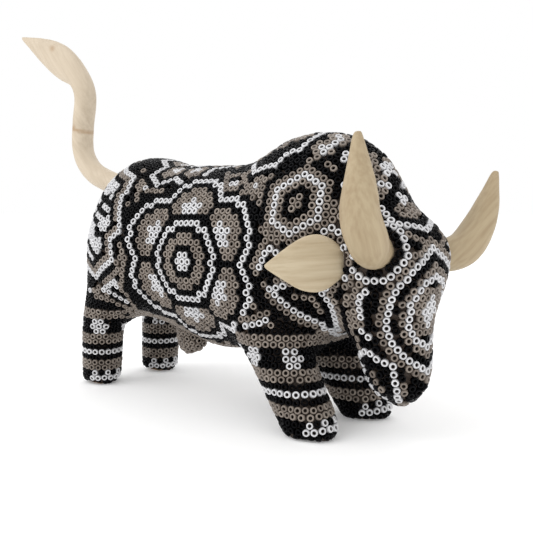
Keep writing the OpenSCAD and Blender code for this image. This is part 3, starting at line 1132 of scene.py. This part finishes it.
def grain_of(points):
    """The points turned so that their first number runs along the longest way of the piece."""
    middle = points.mean(0)
    _, _, axes = np.linalg.svd(points - middle, full_matrices=False)
    return (points - middle) @ axes.T


# Brown marks in the wood: a place, measured like those of the motifs, the way across the mark, half its
# thickness, and how far it spreads
MARKS = {
    "tail": [((-55.5, 0, 88.5), (0.22, 0, 0.97), 0.55, 20), ((-55.5, -3.5, 89.2), (0.22, 0, 0.97), 1.0, 2),
             ((-69, -1.5, 119.5), (0.5, 0, 0.87), 1.3, 2)],
    "ear_right": [((66.5, -19.5, 50.5), (0, 0, 1), 0.9, 1.1)],
    "ear_left": [((66.5, 19.5, 50.5), (0, 0, 1), 0.9, 1.1)],
}


def marks_of(name, points):
    """How strongly each point is stained."""
    found = np.zeros(len(points))
    for place, way, thickness, reach in MARKS.get(name, []):
        off = points - np.array(place) * MM
        across = np.abs(off @ np.array(way)) / (thickness * MM)
        spread = np.linalg.norm(off, axis=1) / (reach * MM)
        found = np.maximum(found, np.exp(-across ** 2 - spread ** 4) * 0.7)
    return found


KNIFE_CUT = 0.13 * MM        # depth of the hollows that the knife left
CUT_SIZE = 5 * MM            # and about how wide they are


def carving_piece(name):
    bm = bmesh.new()
    bm.from_mesh(frame["nodes"][name].data)
    bmesh.ops.remove_doubles(bm, verts=bm.verts, dist=0.01 * MM)
    joined_quads(bm)
    points, normals, faces = smoothed(bm, 2)
    cuts = np.array([noise.noise(Vector(p) / CUT_SIZE) for p in points])
    points = points - normals * (np.abs(cuts) * KNIFE_CUT)[:, None]
    obj = new_object(f"{name}_carved", points, faces)
    grain = obj.data.attributes.new("grain", "FLOAT_VECTOR", "POINT")
    grain.data.foreach_set("vector", grain_of(points).astype(np.float32).ravel())
    mark = obj.data.attributes.new("mark", "FLOAT", "POINT")
    mark.data.foreach_set("value", marks_of(name, points).astype(np.float32))
    obj.data.materials.append(CARVING_WOOD[name])
    place_piece(obj, "pale_wood", name)


bead_pieces()
wax_piece()
for name in CARVINGS:
    carving_piece(name)
for name, node in frame["nodes"].items():
    if not node.hide_render:
        node.data.materials.clear()
        node.data.materials.append(CORE_WOOD if name == "wood_core" else DOWEL_WOOD)


# ---- The studio ----

def studio():
    corners = [(-3, -3, 0), (3, -3, 0), (3, 3, 0), (-3, 3, 0)]
    floor = new_object("floor", corners, [(0, 1, 2, 3)], smooth=False)
    material, _, _, shader = new_material("pale_floor")
    shader.inputs["Base Color"].default_value = (0.97, 0.97, 0.97, 1)
    shader.inputs["Roughness"].default_value = 0.9
    shader.inputs["Emission Color"].default_value = (1, 1, 1, 1)
    shader.inputs["Emission Strength"].default_value = 0.12
    floor.data.materials.append(material)
    world = bpy.data.worlds.new("studio")
    world.use_nodes = True
    world.node_tree.nodes["Background"].inputs["Color"].default_value = (1, 1, 1, 1)
    world.node_tree.nodes["Background"].inputs["Strength"].default_value = 1.0
    bpy.context.scene.world = world
    bpy.context.scene.view_settings.view_transform = "Standard"
    for name, place, size, power in (
            ("key", (-0.3, -0.55, 0.6), 0.7, 2.4), ("fill", (0.7, 0.1, 0.45), 0.5, 0.3),
            ("back", (-0.4, 0.5, 0.6), 0.7, 0.8)):
        light = bpy.data.lights.new(name, "AREA")
        light.size = size
        light.energy = power
        obj = bpy.data.objects.new(name, light)
        obj.location = place
        obj.rotation_euler = (Vector((0.03, 0, 0.04)) - Vector(place)).to_track_quat("-Z", "Y").to_euler()
        bpy.context.scene.collection.objects.link(obj)


# The photograph's view, as a scratch program fitted it
CAMERA_AZIMUTH = math.radians(41.5)
CAMERA_ELEVATION = math.radians(5)
CAMERA_DISTANCE = 223 * MM
CAMERA_TARGET = at(37, 0, 42.7)
CAMERA_LENS = 50.66


def camera():
    data = bpy.data.cameras.new("camera")
    data.sensor_width = 36
    data.lens = CAMERA_LENS
    data.clip_start = 0.01
    obj = bpy.data.objects.new("camera", data)
    back = Vector((
        math.sin(CAMERA_AZIMUTH) * math.cos(CAMERA_ELEVATION),
        -math.cos(CAMERA_AZIMUTH) * math.cos(CAMERA_ELEVATION),
        math.sin(CAMERA_ELEVATION)))
    obj.location = CAMERA_TARGET + back * CAMERA_DISTANCE
    obj.rotation_euler = back.to_track_quat("Z", "Y").to_euler()
    bpy.context.scene.collection.objects.link(obj)
    bpy.context.scene.camera = obj


studio()
camera()
